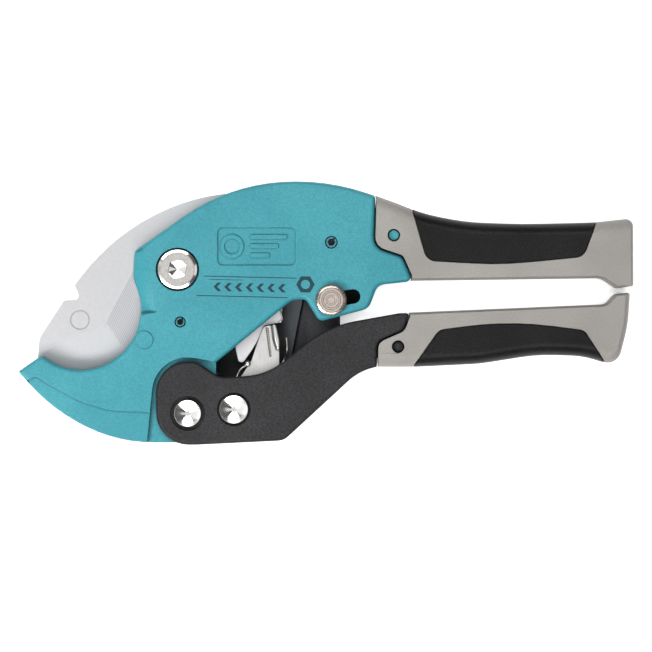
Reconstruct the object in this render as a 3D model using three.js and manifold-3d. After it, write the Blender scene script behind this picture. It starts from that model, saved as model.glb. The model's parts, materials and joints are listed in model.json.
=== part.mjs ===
// Ratcheting PVC pipe cutter, lying on its back, jaws towards -X and handles towards +X.
// Millimetres, +Z up. Heights inside the group "tool" are measured from the tool's mid-plane.
import * as THREE from 'three';
import { mergeVertices } from 'three/addons/utils/BufferGeometryUtils.js';
import Module from 'manifold-3d';

const wasm = await Module();
wasm.setup();

// ---- driving dimensions ----------------------------------------------------------------------
const MID_HEIGHT = 10; // mid-plane above the rest surface
const GAP = 0.3; // running or fitting gap between neighbouring pieces
const SEAM = 0.45; // open joint between a grip sleeve and the metal it butts against
const CHORD_SAG = 0.04; // how far a facet may stray from a true arc

const BODY_HALF = 8.7; // half thickness of the cast housing
const BODY_EDGE = 1.5; // rounding of its outer edge
const LEVER_EDGE = 1;
const CAVITY_HALF = 5.8; // wide cavity behind the window
const SLOT_HALF = 1.8; // narrow slot for the blade
const BLADE_HALF = 1.3;
const CHEEK_IN = 6.1; // lever cheeks, inner and outer faces
const CHEEK_OUT = 9.3;
const SLEEVE_HALF = MID_HEIGHT; // the sleeves' backs are what the tool lies on
const PALM_ROUND = [5, 4.4]; // depth and width of the rounding on the palm side of a sleeve
const TANG_HALF = 5;
const RUBBER = 2; // thickness of the soft inserts

const BLADE_PIVOT = [-48.2, 14.2];
const LEVER_PIVOT = [-44.9, -32.6];
const PAWL_PIVOT = [-29.9, -31.3];
const LATCH_AT = [1.8, 4.2];
const LATCH_TRAVEL = 7.2;
const LATCH_ANGLE = THREE.MathUtils.degToRad(9.8);
const STOP_PIN = [-47.3, -2.9];
const SPRING_PIN = [1.8, 23];
const SPRING_POST = [-31.8, 32.8];
const UPPER_PEG = [22.1, 25.3];
const LOWER_PEG = [23.5, -10.9];
const CAST_MARK = [-59, -8.7];
const DIMPLE = [-80.2, -2.2];
const PEG_RECESS = 1.5; // how far the peg ends lie below the sleeves' faces

const CROWN_RADIUS = 38; // ratchet teeth on the blade's tail, about the blade pivot
const ROOT_RADIUS = 33.7;
const TOOTH_PITCH = 31;
const FLANK_LEAN = 6; // angle between a tooth's root and its tip, degrees
const TAIL_START = -58; // angle of the first tooth's tip, degrees
const TOOTH_COUNT = 3;
const TAIL_TOP = 28; // angle where the last tooth runs into the blade's back
const HUB_RADIUS = 14.9;

const PIPE_RADIUS = 19.2; // the anvil's curve, for pipe up to 36 mm and a little more

// ---- outlines: corners as [x, y, fillet radius], anticlockwise --------------------------------
const BODY = [
  [-100, -19, 0.4], [-90, -30.1, 58], [-69.3, -42.1, 50], [-35.4, -42.1, 9.4], [-35.4, -15.8, 0.3],
  [-10.7, 4.4, 5], [-6.5, 4.4, 1.6], [-2.1, -2.8, 2.2], [14, 1.5, 4], [16.9, 9.2, 3.5],
  [28.4, 10.4, 1.6], [24.8, 18.4, 2], [15.6, 21.4, 4.5], [16.1, 38.1, 1], [2.1, 42.8, 70],
  [-30, 42.8, 62], [-62.3, 20.1, 2.5], [-62.8, 11, 8], [-56.1, -3.6, PIPE_RADIUS],
  [-77.6, -23.4, PIPE_RADIUS], [-92.5, -13.8, 2],
];
const CAVITY = [
  [-35.7, -30, 0], [12.3, -30, 0], [12.3, 4.9, 3], [9.7, 9.4, 2], [2.9, 12, 3], [6.2, 16.6, 3],
  [6.2, 26.9, 3], [-8.4, 32.5, 8], [-31.8, 36.4, 2], [-36.4, 35.7, 1], [-36.4, 28.9, 3],
  [-28.6, 16.6, 8], [-26, 6.8, 8], [-35.7, -7.1, 3],
];
const JAW_GROOVE = [
  [-97.2, -8, 0], [-94.1, -21.1, 3], [-85.7, -26.9, 6], [-73.4, -25.6, 8], [-62.3, -19.8, 2],
  [-52, -12, 0], [-60, 6, 0],
];
const SLOT_ROOF = [[-24.9, 60, 0], [-24.9, 40.4, 0], [-17, 31.3, 2], [-8, 30.5, 0], [20, 25, 0], [20, 60, 0]];
const JAW_STEP = [
  [-57.1, -32.3, 1], [-70.3, -31.7, 20], [-80.2, -28.6, 20], [-90.1, -23.2, 10], [-94.4, -20.5, 1.5],
  [-97.3, -22.2, 0], [-106, -26, 0], [-106, -48, 0], [-57.1, -48, 0],
];
const HEAD_POCKET = [[-58.4, -45.1, 0], [-32, -45.1, 0], [-32, -16.4, 0], [-55.1, -12.5, 11.5]];
const NOSE = [[-66, 17.7, 0], [-58.8, 21.7, 0], [-54, 1.2, 0], [-54.2, -2, 0], [-66, -2, 0]];
const NOSE_SLOPE = [[-59.1, 21.6, BODY_HALF], [-54.9, 0.9, BODY_HALF], [-62.3, 20, 4.6]];
const NOSE_FOOT = [[-60.8, -1, BODY_HALF], [-54.7, 0.4, BODY_HALF], [-60.4, 0.2, 2.2]];
const NAMEPLATE = [[-35.2, 15.5, 1.6], [-9.8, 15.5, 1.6], [-9.8, 27.8, 1.6], [-35.2, 27.8, 1.6]];
const UPPER_TANG = [
  [14.9, 27, 0], [24, 17.9, 1], [30.5, 14, 2], [58.8, 14.4, 30], [85, 14.8, 2], [85, 25.4, 2],
  [58.8, 24.8, 30], [40.3, 25.6, 20], [27.9, 29.5, 10], [14.9, 34.7, 0],
];

const BLADE_FRONT = [
  [-50.8, -0.5, 0.5], [-35, 20, 0], [-20, 28, 0], [-17.9, 30.2, 1], [-26, 39.8, 4], [-45.1, 37.4, 63],
  [-70.4, 24.6, 69], [-82, 9.1, 0.8], [-79.9, 4.5, 1.3], [-85.4, 4.2, 0.8], [-93.5, -8.1, 6],
  [-94, -15.4, 0.5], [-91.6, -17.2, 0.5], [-76.6, -21.1, 10], [-63.1, -15.1, 1],
];
const TAIL_EDGE = [[-29.4, -12.3], [-31.3, 4.4]];
const GRIND_HEEL = [[-63.3, 12.9], [-71.8, -3.2]];
const GRIND_TIP = [[-71.8, -3.2], [-90.6, -12]];
const EDGE_CORNER = [-63.1, -15.1];
const EDGE_HALF = 0.12;

const LEVER = [
  [-55.1, -42.8, 10.5], [-42, -42.8, 6], [-13.6, -41.4, 5], [11, -18.7, 18], [16.6, -17.5, 0.5],
  [16.6, -9.3, 3.5], [25.3, -5.5, 3.3], [27.3, 0, 0.8], [24, 0, 3], [0.6, -4.2, 36], [-19.5, -20.3, 22],
  [-34.6, -20.8, 4], [-42, -15.8, 5], [-55.1, -15.9, 10],
];
const LEVER_FORK = [
  [-62, -60, 0], [-31, -60, 0], [-31, -38.2, 1], [-15, -37, 2], [-11, -33, 2], [-11, -12.7, 0],
  [-7.6, 4.2, 0], [-62, 10, 0],
];
const REAR_WEB = [
  [-35.2, -27, 1], [-9, -27, 0], [-9.4, -12.7, 0], [-5.6, 8.4, 0.5], [-12.3, 7.1, 2], [-20.1, 1.3, 4],
  [-35.2, -12.7, 2],
];
const WEB_GROOVE = [[-11.9, -17, 0], [-11.1, -17, 0], [-5.9, 8.6, 0], [-6.8, 8.6, 0]];
const TONGUE = [
  [-10.5, -14, 0], [4.7, -9, 0], [4.7, 0.6, 0.5], [1, 1.3, 0.6], [-5.9, 8.4, 1], [-6.8, 4.2, 3],
];
const LOWER_TANG = [
  [14.9, -14.6, 0], [30.5, -14, 10], [85.7, -10.1, 2], [85.7, -1, 2], [30.5, -2.9, 5], [25.3, -3.3, 2],
  [14.9, -5, 0],
];

const PAWL = [
  [-33.8, -36, 4], [-25.3, -36, 4], [-18.8, -25.6, 3], [-15, -17, 1], [-15, -9, 6],
  [-16.3, -3.6, 0.5], [-20.4, -4.3, 1.4], [-22.4, -9.8, 10], [-24.3, -15.4, 4], [-27.4, -20.2, 2],
  [-34.5, -28.2, 3],
];
const PAWL_WEB = [
  [-20.4, -27, 0], [-17, -27, 0], [-12, -15.6, 1], [-12, 0, 0], [-17.2, 0, 0], [-15.5, -15.8, 1],
];

// Sleeve corners have a fourth number: the share of the palm-side rounding on the edge that follows.
const UPPER_SLEEVE = [
  [8, 10.3, 0, 0.2], [89.8, 11.4, 5, 0.2], [94.8, 8.1, 1.2, 0.2], [100.1, 8.8, 0.6, 0.25],
  [100, 30.9, 2.3, 1], [87, 29.5, 60, 1], [64, 28.95, 200, 1], [46, 29.6, 70, 1], [32, 32.2, 60, 1],
  [23, 35.8, 40, 1], [8, 41.2, 0, 0.2],
];
const UPPER_INSERT = [[26.7, 39, 0], [33, 17.2, 3.8], [57, 15.9, 120], [83.6, 18.5, 3.6], [91.3, 39, 0]];
const LOWER_SLEEVE = [
  [8, -17.5, 0, 1], [29, -17.5, 30, 1], [50, -16.5, 60, 1], [69, -13.5, 60, 1], [84.2, -14, 30, 1],
  [94.9, -17.4, 4.5, 0.4], [98.3, -4, 40, 0.4], [99, 6.7, 0.7, 0.2], [94.3, 6.3, 2, 0.2],
  [91.2, 2.9, 3, 0.2], [48, 1, 60, 0.2], [27.6, 0.2, 1, 0.2], [8, -3.5, 0, 0.2],
];
const LOWER_INSERT = [[96.5, -25, 0], [83.8, -5.8, 3], [59.5, -2.7, 110], [36.9, -5.7, 3.5], [24, -24, 0]];

// ---- materials ---------------------------------------------------------------------------------
function finish(color, roughness, metalness) {
  return new THREE.MeshStandardMaterial({ color, roughness, metalness });
}
const TEAL_PAINT = finish(0x53a8b9, 0.55, 0.1);
const BLADE_STEEL = finish(0xd8dade, 0.35, 1);
const BRIGHT_STEEL = finish(0xd0d2d5, 0.2, 1);
const PRESSED_STEEL = finish(0xb9bcc0, 0.35, 1);
const SPRING_STEEL = finish(0x8a8680, 0.4, 1);
const BLACK_STEEL = finish(0x1c1c1e, 0.45, 0.8);
const BRONZE = finish(0xa8844f, 0.4, 1);
const DARK_PAINT = finish(0x484648, 0.7, 0.1);
const WARM_NICKEL = finish(0x9c948a, 0.3, 1);
const GREY_GRIP = finish(0xaca8a3, 0.6, 0);
const BLACK_RUBBER = finish(0x2a2a2b, 0.85, 0);

// ---- shape helpers -------------------------------------------------------------------------------
// The number of facets that an arc needs to stay within the allowed sag.
function arcFacets(radius, sweep) {
  const step = 2 * Math.acos(1 - CHORD_SAG / Math.max(radius, 4 * CHORD_SAG));
  return Math.max(1, Math.ceil(Math.abs(sweep) / step));
}

function cross(a, b) {
  return a.x * b.y - a.y * b.x;
}

// Moves every edge of a polygon inwards by its share of `inset` and shrinks the fillets to suit.
function insetCorners(corners, inset) {
  const count = corners.length;
  return corners.map(([x, y, radius, share = 1], i) => {
    const before = corners[(i + count - 1) % count];
    const after = corners[(i + 1) % count];
    const along = new THREE.Vector2(x - before[0], y - before[1]).normalize();
    const onward = new THREE.Vector2(after[0] - x, after[1] - y).normalize();
    const turn = Math.atan2(cross(along, onward), along.dot(onward));
    const first = inset * (before[3] ?? 1);
    const second = inset * share;
    const slide = Math.abs(turn) < 1e-6 ? 0 : (first * Math.cos(turn) - second) / Math.sin(turn);
    const newRadius = radius === 0 ? 0 : Math.max(radius - Math.sign(turn) * (first + second) / 2, 0.05);
    return [x - along.y * first + along.x * slide, y + along.x * first + along.y * slide, newRadius, share];
  });
}

// The points of an outline whose corners are filleted; `like` sets how many points each fillet has.
function filletPoints(corners, like = corners) {
  const count = corners.length;
  const points = [];
  corners.forEach(([x, y, radius], i) => {
    const before = corners[(i + count - 1) % count];
    const after = corners[(i + 1) % count];
    const along = new THREE.Vector2(x - before[0], y - before[1]).normalize();
    const onward = new THREE.Vector2(after[0] - x, after[1] - y).normalize();
    const turn = Math.atan2(cross(along, onward), along.dot(onward));
    if (like[i][2] === 0) {
      points.push(new THREE.Vector2(x, y));
      return;
    }
    const reach = radius * Math.abs(Math.tan(turn / 2));
    const side = Math.sign(turn);
    const centre = new THREE.Vector2(x - along.x * reach - along.y * side * radius,
      y - along.y * reach + along.x * side * radius);
    const start = Math.atan2(-along.x * side, along.y * side);
    const steps = arcFacets(like[i][2], turn);
    for (let k = 0; k <= steps; k += 1) {
      const angle = start + turn * k / steps;
      const spoke = new THREE.Vector2(Math.cos(angle), Math.sin(angle));
      points.push(centre.clone().addScaledVector(spoke, radius));
    }
  });
  return points;
}

// A closed solid from rings of equally many points, capped at both ends.
function loft(rings) {
  const size = rings[0].points.length;
  const positions = rings.flatMap(({ z, points }) => points.flatMap((p) => [p.x, p.y, z]));
  const index = [];
  for (let r = 0; r + 1 < rings.length; r += 1) {
    for (let i = 0; i < size; i += 1) {
      const a = r * size + i;
      const b = r * size + (i + 1) % size;
      index.push(a, b, b + size, a, b + size, a + size);
    }
  }
  const top = (rings.length - 1) * size;
  for (const [i, j, k] of THREE.ShapeUtils.triangulateShape(rings[0].points, [])) {
    index.push(k, j, i);
  }
  for (const [i, j, k] of THREE.ShapeUtils.triangulateShape(rings.at(-1).points, [])) {
    index.push(top + i, top + j, top + k);
  }
  const geometry = new THREE.BufferGeometry();
  geometry.setAttribute('position', new THREE.Float32BufferAttribute(positions, 3));
  geometry.setIndex(index);
  return geometry;
}

function signedVolume(positions, index) {
  const [a, b, c] = [new THREE.Vector3(), new THREE.Vector3(), new THREE.Vector3()];
  let volume = 0;
  for (let i = 0; i < index.length; i += 3) {
    a.fromArray(positions, index[i] * 3);
    b.fromArray(positions, index[i + 1] * 3);
    c.fromArray(positions, index[i + 2] * 3);
    volume += a.dot(b.cross(c));
  }
  return volume;
}

// Leaves out triangles that lost a corner when vertices were merged.
function withoutSlivers(index) {
  const kept = [];
  for (let i = 0; i < index.length; i += 3) {
    const [a, b, c] = index.slice(i, i + 3);
    if (a !== b && b !== c && c !== a) {
      kept.push(a, b, c);
    }
  }
  return kept;
}

// A three.js geometry as a closed solid, with its faces turned outwards.
function solid(geometry) {
  const bare = geometry.clone();
  bare.deleteAttribute('normal');
  bare.deleteAttribute('uv');
  const merged = mergeVertices(bare, 1e-5);
  const vertProperties = merged.attributes.position.array;
  const triVerts = Uint32Array.from(withoutSlivers(merged.index.array));
  if (signedVolume(vertProperties, triVerts) < 0) {
    triVerts.reverse();
  }
  return new wasm.Manifold(new wasm.Mesh({ numProp: 3, vertProperties, triVerts }));
}

function union(first, ...rest) {
  return rest.reduce((sum, piece) => sum.add(piece), first);
}

// A filleted outline extruded between two heights.
function prism(corners, low, high, inset = 0) {
  const shape = new THREE.Shape(filletPoints(insetCorners(corners, inset), corners));
  const geometry = new THREE.ExtrudeGeometry(shape, { depth: high - low, bevelEnabled: false });
  geometry.translate(0, 0, low);
  return solid(geometry);
}

// A slab whose edge is worked to a profile of [height, inset] steps, mirrored about the mid-plane.
function slab(corners, profile) {
  const lower = profile.map(([z, inset]) => [-z, inset]);
  const steps = [...lower, ...profile.toReversed()];
  return solid(loft(steps.map(([z, inset]) => ({
    z,
    points: filletPoints(insetCorners(corners, inset), corners),
  }))));
}

// A quarter ellipse from a slab's face to its side, as [height, inset] steps.
function edgeProfile(half, depth, width, steps) {
  return Array.from({ length: steps + 1 }, (_, k) => {
    const angle = Math.PI / 2 * k / steps;
    return [half - depth * (1 - Math.cos(angle)), width * (1 - Math.sin(angle))];
  });
}

function bothSides(corners, low, high, inset = 0) {
  return prism(corners, low, high, inset).add(prism(corners, -high, -low, inset));
}

// A turned piece on a vertical axis from [radius, height] pairs.
function turned([x, y], profile) {
  const widest = Math.max(...profile.map(([radius]) => radius));
  const segments = Math.max(16, arcFacets(widest, 2 * Math.PI));
  const points = profile.map(([radius, height]) => new THREE.Vector2(radius, height));
  const geometry = new THREE.LatheGeometry(points, segments);
  geometry.rotateX(Math.PI / 2);
  geometry.translate(x, y, 0);
  return solid(geometry);
}

function disc(centre, radius, low, high) {
  return turned(centre, [[0, low], [radius, low], [radius, high], [0, high]]);
}

function ring(centre, inner, outer, low, high) {
  return turned(centre, [[inner, low], [outer, low], [outer, high], [inner, high], [inner, low]]);
}

// A hexagonal prism with one corner turned `degrees` from +X.
function hexagon([x, y], acrossFlats, low, high, degrees = 0) {
  const radius = acrossFlats / Math.sqrt(3);
  const geometry = new THREE.CylinderGeometry(radius, radius, high - low, 6);
  geometry.rotateX(Math.PI / 2);
  geometry.rotateZ(Math.PI / 2 + THREE.MathUtils.degToRad(degrees));
  geometry.translate(x, y, (low + high) / 2);
  return solid(geometry);
}

function box(low, high) {
  const size = high.map((value, i) => value - low[i]);
  const geometry = new THREE.BoxGeometry(...size);
  geometry.translate(...low.map((value, i) => value + size[i] / 2));
  return solid(geometry);
}

// A round wire along a list of points or a curve.
function wire(curve, radius, steps, sides = 6) {
  const outline = new THREE.Shape(Array.from({ length: sides }, (_, i) => {
    const angle = Math.PI * 2 * i / sides;
    return new THREE.Vector2(radius * Math.cos(angle), radius * Math.sin(angle));
  }));
  return solid(new THREE.ExtrudeGeometry(outline, { steps, extrudePath: curve, bevelEnabled: false }));
}

function polar([x, y], radius, degrees) {
  const angle = THREE.MathUtils.degToRad(degrees);
  return [x + radius * Math.cos(angle), y + radius * Math.sin(angle)];
}

// Everything on the outer side of the plane through three points, as a large block.
function beyondPlane(first, second, third, side) {
  const [p, q, r] = [first, second, third].map(([x, y, z]) => new THREE.Vector3(x, y, z * side));
  const along = q.clone().sub(p).normalize();
  const normal = along.clone().cross(r.sub(p)).normalize();
  if (normal.z * side < 0) {
    normal.negate();
  }
  const across = normal.clone().cross(along);
  const size = 200;
  const geometry = new THREE.BoxGeometry(size, size, size);
  geometry.translate(0, 0, size / 2);
  geometry.applyMatrix4(new THREE.Matrix4().makeBasis(along, across, normal).setPosition(p));
  return solid(geometry);
}

// ---- housing --------------------------------------------------------------------------------------
const BOLT_POCKET = 7.05;
const NUT_POCKET = 8.3;
const POCKET_FLOOR = 5;
const BOLT_HOLE = 4.3;
const WASHER_RADIUS = 10;
const WASHER_SPACE = 2.9;
const PIN_HOLE = 3.8;
const SPRING_SPACE = 8;
const STOP_HOLE = 1.8;
const SPRING_HOLE = 2.05;
const PEG_RADIUS = 1.7;
const STEP_DEPTH = 0.8; // how far the jaw's border lies below its face
const PLATE_DEPTH = 0.6;
const RELIEF = 0.5; // height of the cast figures in the nameplate
const RELIEF_DISC = [-30.5, 21.65];
const RELIEF_BARS = [[18, 6.4], [21, 9.2], [24, 12]]; // height of the lower edge and length of each bar

function latchSlot() {
  const radius = 2.35;
  const shape = new THREE.Shape();
  shape.absarc(0, 0, radius, Math.PI / 2, Math.PI * 3 / 2);
  shape.absarc(LATCH_TRAVEL, 0, radius, -Math.PI / 2, Math.PI / 2);
  const geometry = new THREE.ExtrudeGeometry(shape, { depth: 4 * BODY_HALF, bevelEnabled: false });
  geometry.rotateZ(LATCH_ANGLE);
  geometry.translate(...LATCH_AT, -2 * BODY_HALF);
  return solid(geometry);
}

function bladeSlot() {
  const sweep = disc(BLADE_PIVOT, CROWN_RADIUS + 2 * GAP, -SLOT_HALF, SLOT_HALF);
  const roof = prism(SLOT_ROOF, -SLOT_HALF - 1, SLOT_HALF + 1);
  return union(
    sweep.subtract(roof),
    prism(JAW_GROOVE.toReversed(), -SLOT_HALF, SLOT_HALF),
    disc(BLADE_PIVOT, WASHER_RADIUS + 0.5, -WASHER_SPACE, WASHER_SPACE),
  );
}

function noseFacet(side) {
  const region = prism(NOSE.toReversed(), -2 * BODY_HALF, 2 * BODY_HALF);
  return beyondPlane(...NOSE_SLOPE, side).intersect(beyondPlane(...NOSE_FOOT, side)).intersect(region);
}

// A pipe's end and three bars of growing length, cast inside the nameplate.
function plateRelief() {
  const low = BODY_HALF - PLATE_DEPTH - 1;
  const high = BODY_HALF - PLATE_DEPTH + RELIEF;
  const [left, thick] = [-24.6, 1.5];
  const bars = RELIEF_BARS.map(([y, length]) => prism([
    [left, y, 0.4], [left + length, y, 0.4], [left + length, y + thick, 0.4], [left, y + thick, 0.4],
  ], low, high));
  return union(ring(RELIEF_DISC, 2.5, 3.9, low, high), ...bars);
}

function makeHousing() {
  const far = 2 * BODY_HALF;
  const shell = slab(BODY, edgeProfile(BODY_HALF, BODY_EDGE, BODY_EDGE, 4));
  const marks = union(
    turned(CAST_MARK, [[0, 8], [2.85, 8], [2.85, BODY_HALF], [2.4, BODY_HALF + 0.4], [0, BODY_HALF + 0.4]]),
    disc(UPPER_PEG, PEG_RADIUS, 0, SLEEVE_HALF - PEG_RECESS),
    plateRelief(),
  );
  const hollows = union(
    prism(CAVITY, -CAVITY_HALF, CAVITY_HALF),
    bladeSlot(),
    bothSides(HEAD_POCKET, CAVITY_HALF, far),
    bothSides(JAW_STEP.toReversed(), BODY_HALF - STEP_DEPTH, far),
    noseFacet(1),
    noseFacet(-1),
    prism(NAMEPLATE, BODY_HALF - PLATE_DEPTH, far),
    latchSlot(),
  );
  const bores = union(
    disc(BLADE_PIVOT, BOLT_HOLE, -far, far),
    disc(BLADE_PIVOT, BOLT_POCKET, POCKET_FLOOR, far),
    disc(BLADE_PIVOT, NUT_POCKET, -far, -POCKET_FLOOR),
    disc(LEVER_PIVOT, PIN_HOLE, -far, far),
    disc(LEVER_PIVOT, SPRING_SPACE, -far, -0.8),
    disc(STOP_PIN, STOP_HOLE, -far, far),
    disc(SPRING_PIN, SPRING_HOLE, -far, far),
  );
  const tang = prism(UPPER_TANG, -TANG_HALF, TANG_HALF);
  return union(shell.subtract(hollows), tang, marks).subtract(bores);
}

// ---- blade and its pivot ---------------------------------------------------------------------------
const TAIL_CORNER = 1.3; // rounding of the tail's free end
const TOOTH_BOW = 0.75; // under 1, a tooth's back falls faster near its tip
const TAIL_CHAMFER = 0.2;

// Each tooth falls slowly from its tip to its root, and a short flank leads to the next tip.
function ratchetPoints() {
  const points = [];
  const steps = 5;
  for (let tooth = 0; tooth < TOOTH_COUNT; tooth += 1) {
    const start = TAIL_START + tooth * TOOTH_PITCH;
    const end = Math.min(start + TOOTH_PITCH, TAIL_TOP);
    for (let k = 0; k <= steps; k += 1) {
      const share = k / steps;
      const angle = start + (end - FLANK_LEAN - start) * share;
      const radius = CROWN_RADIUS + (ROOT_RADIUS - CROWN_RADIUS) * share ** TOOTH_BOW;
      points.push([...polar(BLADE_PIVOT, radius, angle), tooth + k === 0 ? TAIL_CORNER : 0]);
    }
  }
  return points;
}

function hubPoints() {
  const [first, last, steps] = [-31, -100, 8];
  return Array.from({ length: steps + 1 }, (_, k) => (
    polar(BLADE_PIVOT, HUB_RADIUS - 1, first + (last - first) * k / steps)
  ));
}

const GRIND_REGION = [[-110, -40, 0], [-57.5, -40, 0], [-57.5, 6, 0], [-60, 30, 0], [-110, 30, 0]];

// One ground face of the cutting edge: it starts at a line on the blade's side and meets the edge.
function grind(line, side) {
  const points = line.map(([x, y]) => [x, y, BLADE_HALF]);
  const region = prism(GRIND_REGION, -2 * BLADE_HALF, 2 * BLADE_HALF);
  return beyondPlane(...points, [...EDGE_CORNER, EDGE_HALF], side).intersect(region);
}

function makeBlade() {
  const inner = [[-45, 25], ...hubPoints().toReversed(), ...TAIL_EDGE.toReversed()];
  const tail = [...ratchetPoints(), ...inner.map(([x, y]) => [x, y, 0])];
  const flat = union(
    prism(BLADE_FRONT, -BLADE_HALF, BLADE_HALF),
    slab(tail, edgeProfile(BLADE_HALF, TAIL_CHAMFER, TAIL_CHAMFER, 1)),
    disc(BLADE_PIVOT, HUB_RADIUS, -BLADE_HALF, BLADE_HALF),
  );
  const faces = [GRIND_HEEL, GRIND_TIP].flatMap((line) => [grind(line, 1), grind(line, -1)]);
  const holes = disc(BLADE_PIVOT, 6.3, -5, 5).add(disc(SPRING_POST, 1.6, -5, 5));
  const scored = BLADE_HALF - 0.25;
  const dimples = union(ring(DIMPLE, 2.85, 3.25, scored, 5), ring(DIMPLE, 2.85, 3.25, -5, -scored));
  return flat.subtract(union(...faces, holes, dimples));
}

function makePivotBush() {
  return ring(BLADE_PIVOT, BOLT_HOLE, 6, -BLADE_HALF, BLADE_HALF);
}

function makeThrustWasher(side) {
  const [low, high] = side > 0 ? [1.6, 2.6] : [-2.6, -1.6];
  return ring(BLADE_PIVOT, BOLT_HOLE, WASHER_RADIUS, low, high);
}

const BOLT_HEAD = 6.5;
const BOLT_TOP = 9.1;
const KEY_FLATS = 5.45;
const NUT_FLATS = 13;
const KEY_HEADING = 14; // direction of one corner of the hexagon socket, degrees

function makePivotBolt() {
  const blank = turned(BLADE_PIVOT, [
    [0, -9.4], [3.5, -9.4], [4, -8.9], [4, 5.3], [BOLT_HEAD, 5.3], [BOLT_HEAD, BOLT_TOP - 0.9],
    [BOLT_HEAD - 0.9, BOLT_TOP], [0, BOLT_TOP],
  ]);
  return blank.subtract(hexagon(BLADE_PIVOT, KEY_FLATS, 6, BOLT_TOP + 1, KEY_HEADING));
}

function makePivotNut() {
  const blank = turned(BLADE_PIVOT, [[0, -10], [6.3, -10], [7.3, -9.3], [7.3, -5.3], [0, -5.3]]);
  const hole = disc(BLADE_PIVOT, BOLT_HOLE, -11, 0);
  return blank.intersect(hexagon(BLADE_PIVOT, NUT_FLATS, -10, -5.3)).subtract(hole);
}

// ---- pins -----------------------------------------------------------------------------------------
const SLIT = [0.45, 55]; // width and heading of a roll pin's slit

function rollPin(centre, outer, inner, half) {
  const [width, heading] = SLIT;
  const far = polar(centre, 2 * outer, heading);
  const edges = [[centre, -90], [far, -90], [far, 90], [centre, 90]];
  const slit = edges.map(([point, side]) => [...polar(point, width / 2, heading + side), 0]);
  return ring(centre, inner, outer, -half, half).subtract(prism(slit, -half - 1, half + 1));
}

// A headed pin whose head is dished in front and whose groove takes a clip at the back.
function headedPin(centre, shank, head) {
  return turned(centre, [
    [0, -9.9], [shank - 0.6, -9.9], [shank - 0.2, -9.5], [shank - 0.2, -9.1], [shank - 0.9, -9.1],
    [shank - 0.9, -8.1], [shank - 0.2, -8.1], [shank - 0.2, -7.6], [shank, -7.4], [shank, 7.9], [head, 7.9],
    [head, 9.5], [head - 0.3, 9.8], [0.5, 8.6], [0, 8.6],
  ]);
}

function makeClip(centre, shank, outer) {
  const washer = ring(centre, shank - 0.6, outer, -9, -8.2);
  const [x, y] = centre;
  return washer.subtract(box([x - 1.6, y - 2 * outer, -10], [x + 1.6, y, -7]));
}

// ---- lever ----------------------------------------------------------------------------------------
const WEB_LOW = -5.4;
const WEB_HIGH = WEB_LOW + 1.3;
const WEB_FOOT = [[-33.5, -27, 0], [-11, -27, 0], [-11, -21.2, 0], [-33.5, -21.6, 0]];
const TONGUE_HALF = 2.6;
const PAWL_HOLE = 3.3;
const COUNTERBORE_DEPTH = 1.7;

// A pin's hole through both cheeks, with a round recess for its head and for its clip.
function steppedHole(centre, radius, recess) {
  const [floor, far] = [CHEEK_OUT - COUNTERBORE_DEPTH, 2 * CHEEK_OUT];
  const recesses = disc(centre, recess, floor, far).add(disc(centre, recess, -far, -floor));
  return recesses.add(disc(centre, radius, -far, far));
}

function makeLever() {
  const blank = slab(LEVER, edgeProfile(CHEEK_OUT, LEVER_EDGE, LEVER_EDGE, 4));
  const forked = blank.subtract(prism(LEVER_FORK, -CHEEK_IN, CHEEK_IN));
  const web = prism(REAR_WEB, WEB_LOW, WEB_HIGH).subtract(prism(WEB_GROOVE, WEB_HIGH - 0.9, WEB_HIGH + 1));
  const filled = union(
    forked,
    web,
    prism(WEB_FOOT, -CHEEK_IN - 0.4, WEB_HIGH),
    prism(TONGUE, -TONGUE_HALF, TONGUE_HALF),
    prism(LOWER_TANG, -TANG_HALF, TANG_HALF),
    disc(LOWER_PEG, PEG_RADIUS, 0, SLEEVE_HALF - PEG_RECESS),
  );
  const holes = steppedHole(LEVER_PIVOT, PIN_HOLE, 5.7).add(steppedHole(PAWL_PIVOT, PAWL_HOLE, 5.5));
  return filled.subtract(holes);
}

// ---- pawl -----------------------------------------------------------------------------------------
const FLANGE_IN = 2.4;
const FLANGE_OUT = 3.6;

function makePawl() {
  const flanges = bothSides(PAWL, FLANGE_IN, FLANGE_OUT);
  const web = prism(PAWL_WEB, -FLANGE_IN - 0.1, FLANGE_IN + 0.1)
    .intersect(prism(PAWL, -FLANGE_OUT, FLANGE_OUT))
    .subtract(disc(BLADE_PIVOT, CROWN_RADIUS + 0.4, -FLANGE_IN, FLANGE_IN));
  return flanges.add(web).subtract(disc(PAWL_PIVOT, PAWL_HOLE, -5, 5));
}

// ---- springs --------------------------------------------------------------------------------------
class Coil extends THREE.Curve {
  constructor(from, axis, side, radius, pitch, turns) {
    super();
    Object.assign(this, { from, axis, side, radius, pitch, turns });
    this.up = axis.clone().cross(side);
  }

  getPoint(t, target = new THREE.Vector3()) {
    const angle = t * this.turns * Math.PI * 2;
    return target.copy(this.from)
      .addScaledVector(this.axis, this.pitch * this.turns * t)
      .addScaledVector(this.side, this.radius * Math.cos(angle))
      .addScaledVector(this.up, this.radius * Math.sin(angle));
  }
}

function loopPoints(centre, radius, z, from, to, steps) {
  return Array.from({ length: steps + 1 }, (_, k) => {
    const [x, y] = polar(centre, radius, from + (to - from) * k / steps);
    return new THREE.Vector3(x, y, z);
  });
}

// The extension spring that opens the blade: a hook at each end and a close coil between them.
const RETURN_SPRING_LEVEL = 3.7;

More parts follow.
